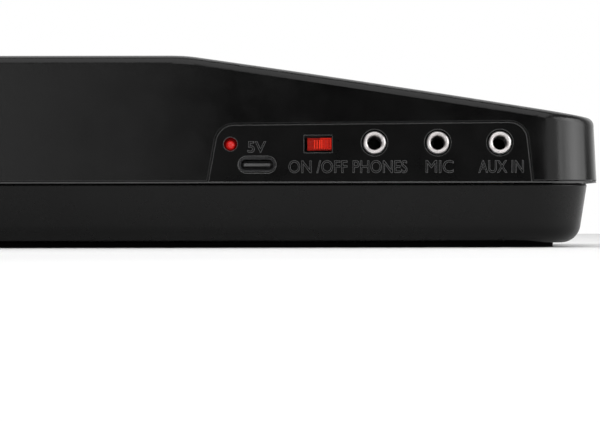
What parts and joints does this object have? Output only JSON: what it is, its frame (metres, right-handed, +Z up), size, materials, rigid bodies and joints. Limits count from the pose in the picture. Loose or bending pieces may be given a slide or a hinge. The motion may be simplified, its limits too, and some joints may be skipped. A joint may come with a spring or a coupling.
{
  "type": "portable cassette recorder",
  "caption": "Portable flat-bed cassette player with a sloping keyed deck, top speaker and a side panel of sockets",
  "frame": {"origin": "middle of the footprint, on the surface under the rubber feet", "axes": "+X to the thin end with the keys, -Y to the side with the jack panel, +Z up"},
  "size_m": [0.2424, 0.1461, 0.0486],
  "materials": {
    "case_plastic": "satin black moulded shell, fine leather-like grain",
    "tub_plastic": "satin black moulded tub, finer grain",
    "panel_plastic": "smooth semi-matt black inset plate",
    "door_plastic": "satin black with fine grain",
    "key_plastic": "satin black piano keys",
    "record_key_plastic": "satin red record key",
    "inner_plastic": "black moulded inner plastic",
    "window_plastic": "clear smoked acrylic",
    "light_plastic": "translucent red lens",
    "switch_red": "red moulded slider",
    "grille_metal": "black painted slotted plate",
    "steel": "zinc plated steel",
    "nickel": "nickel plated bush",
    "brass": "turned brass",
    "alloy": "plain aluminium",
    "rubber": "black moulded rubber",
    "ferrite": "dark grey ferrite",
    "cone_paper": "pressed black paper",
    "board": "green glass-fibre board",
    "cell_jacket": "plain grey jacket, no marks"
  },
  "bodies": {
    "root": {"upper_case": "case_plastic", "lower_case": "tub_plastic", "jack_panel": "panel_plastic", "cassette_well": "inner_plastic", "hinge_rods": "steel", "rubber_feet": "rubber", "case_screws": "steel", "jack_bodies": "inner_plastic", "jack_bushes": "nickel", "usb_shell": "steel", "usb_tongue": "inner_plastic", "power_light": "light_plastic", "switch_body": "steel", "screw_posts": "inner_plastic", "key_springs": "steel", "chassis": "steel", "standoffs": "brass", "capstan_bearing": "brass", "motor": "steel", "drive_belt": "rubber", "speaker_grille": "grille_metal", "speaker_frame": "steel", "speaker_magnet": "ferrite", "speaker_cone": "cone_paper", "battery_cells": "cell_jacket", "battery_contacts": "steel", "volume_control": "steel", "counter_case": "inner_plastic", "counter_window": "window_plastic", "microphone": "alloy", "circuit_boards": "board", "board_capacitors": "alloy"},
    "door": {"cassette_door": "door_plastic", "door_window": "window_plastic", "cassette_holder": "steel"},
    "record_key": {"key_record": "record_key_plastic"},
    "play_key": {"key_play": "key_plastic"},
    "rewind_key": {"key_rewind": "key_plastic"},
    "forward_key": {"key_forward": "key_plastic"},
    "stop_key": {"key_stop": "key_plastic"},
    "pause_key": {"key_pause": "key_plastic"},
    "handle": {"carry_handle": "case_plastic"},
    "battery_lid": {"battery_cover": "tub_plastic"},
    "slider": {"switch_slider": "switch_red"},
    "wheel": {"volume_wheel": "key_plastic"},
    "button": {"reset_button": "key_plastic"},
    "counter": {"counter_wheels": "inner_plastic"},
    "supply_reel": {"supply_spindle": "inner_plastic", "supply_disc": "inner_plastic"},
    "take_up_reel": {"take_up_spindle": "inner_plastic", "take_up_disc": "inner_plastic"},
    "idler": {"idler_wheel": "rubber"},
    "capstan_wheel": {"capstan": "steel", "flywheel": "alloy"},
    "pulley": {"motor_pulley": "brass"},
    "carriage": {"head_carriage": "steel", "play_head": "steel", "erase_head": "inner_plastic", "pinch_arm": "steel"},
    "roller": {"pinch_roller": "rubber"}
  },
  "joints": [
    {"name": "door_hinge", "type": "hinge", "parent": "root", "child": "door", "pos_m": [0.08666, 0, 0.03509], "axis": [0, 1, 0], "range_deg": [0, 45]},
    {"name": "carriage_slide", "type": "slide", "parent": "root", "child": "carriage", "axis": [-0.9882, 0, 0.153], "range_m": [0, 0.0043], "stiffness_N_per_m": 150, "springref_m": -0.004},
    {"name": "record_press", "type": "hinge", "parent": "root", "child": "record_key", "pos_m": [0.09491, 0, 0.0328], "axis": [0, 1, 0], "range_deg": [0, 9], "stiffness_Nm_per_rad": 0.05, "springref_deg": -11.46},
    {"name": "play_press", "type": "hinge", "parent": "root", "child": "play_key", "pos_m": [0.09491, 0, 0.0328], "axis": [0, 1, 0], "range_deg": [0, 9], "stiffness_Nm_per_rad": 0.05, "springref_deg": -11.46},
    {"name": "rewind_press", "type": "hinge", "parent": "root", "child": "rewind_key", "pos_m": [0.09491, 0, 0.0328], "axis": [0, 1, 0], "range_deg": [0, 9], "stiffness_Nm_per_rad": 0.05, "springref_deg": -11.46},
    {"name": "forward_press", "type": "hinge", "parent": "root", "child": "forward_key", "pos_m": [0.09491, 0, 0.0328], "axis": [0, 1, 0], "range_deg": [0, 9], "stiffness_Nm_per_rad": 0.05, "springref_deg": -11.46},
    {"name": "stop_press", "type": "hinge", "parent": "root", "child": "stop_key", "pos_m": [0.09491, 0, 0.0328], "axis": [0, 1, 0], "range_deg": [0, 9], "stiffness_Nm_per_rad": 0.05, "springref_deg": -11.46},
    {"name": "pause_press", "type": "hinge", "parent": "root", "child": "pause_key", "pos_m": [0.09491, 0, 0.0328], "axis": [0, 1, 0], "range_deg": [0, 9], "stiffness_Nm_per_rad": 0.05, "springref_deg": -11.46},
    {"name": "handle_slide", "type": "slide", "parent": "root", "child": "handle", "axis": [-1, 0, 0], "range_m": [0, 0.03]},
    {"name": "battery_lid_off", "type": "slide", "parent": "root", "child": "battery_lid", "axis": [0, 0, -1], "range_m": [0, 0.01]},
    {"name": "power_slide", "type": "slide", "parent": "root", "child": "slider", "axis": [-1, 0, 0], "range_m": [0, 0.0032]},
    {"name": "volume_turn", "type": "hinge", "parent": "root", "child": "wheel", "pos_m": [-0.02, 0.0631, 0.0323], "axis": [0, 0, 1], "range_deg": [-140, 140]},
    {"name": "reset_press", "type": "slide", "parent": "root", "child": "button", "axis": [0, 0, -1], "range_m": [0, 0.0015], "stiffness_N_per_m": 200, "springref_m": -0.002},
    {"name": "capstan_spin", "type": "hinge", "parent": "root", "child": "capstan_wheel", "pos_m": [0.07544, 0.0338, 0.01619], "axis": [0.153, 0, 0.9882], "continuous": true},
    {"name": "pulley_spin", "type": "hinge", "parent": "root", "child": "pulley", "pos_m": [-0.00157, 0.036, 0.02406], "axis": [0.153, 0, 0.9882], "continuous": true},
    {"name": "idler_spin", "type": "hinge", "parent": "root", "child": "idler", "pos_m": [0.06538, 0.029, 0.01876], "axis": [0.153, 0, 0.9882], "continuous": true},
    {"name": "take_up_spin", "type": "hinge", "parent": "root", "child": "take_up_reel", "pos_m": [0.04921, 0.02125, 0.02328], "axis": [0.153, 0, 0.9882], "continuous": true},
    {"name": "supply_spin", "type": "hinge", "parent": "root", "child": "supply_reel", "pos_m": [0.04921, -0.02125, 0.02328], "axis": [0.153, 0, 0.9882], "continuous": true},
    {"name": "counter_spin", "type": "hinge", "parent": "root", "child": "counter", "pos_m": [-0.003, -0.036, 0.0416], "axis": [0, 1, 0], "continuous": true},
    {"name": "roller_spin", "type": "hinge", "parent": "carriage", "child": "roller", "pos_m": [0.08944, 0.0338, 0.02758], "axis": [0.153, 0, 0.9882], "continuous": true}
  ],
  "couplings": [
    {"joint": "play_press", "follows": "carriage_slide", "rad_per_m": 36.5},
    {"joint": "pulley_spin", "follows": "capstan_spin", "ratio": 6.1562},
    {"joint": "idler_spin", "follows": "capstan_spin", "ratio": -1.1795},
    {"joint": "take_up_spin", "follows": "capstan_spin", "ratio": 0.46154},
    {"joint": "counter_spin", "follows": "capstan_spin", "ratio": 0.05}
  ]
}
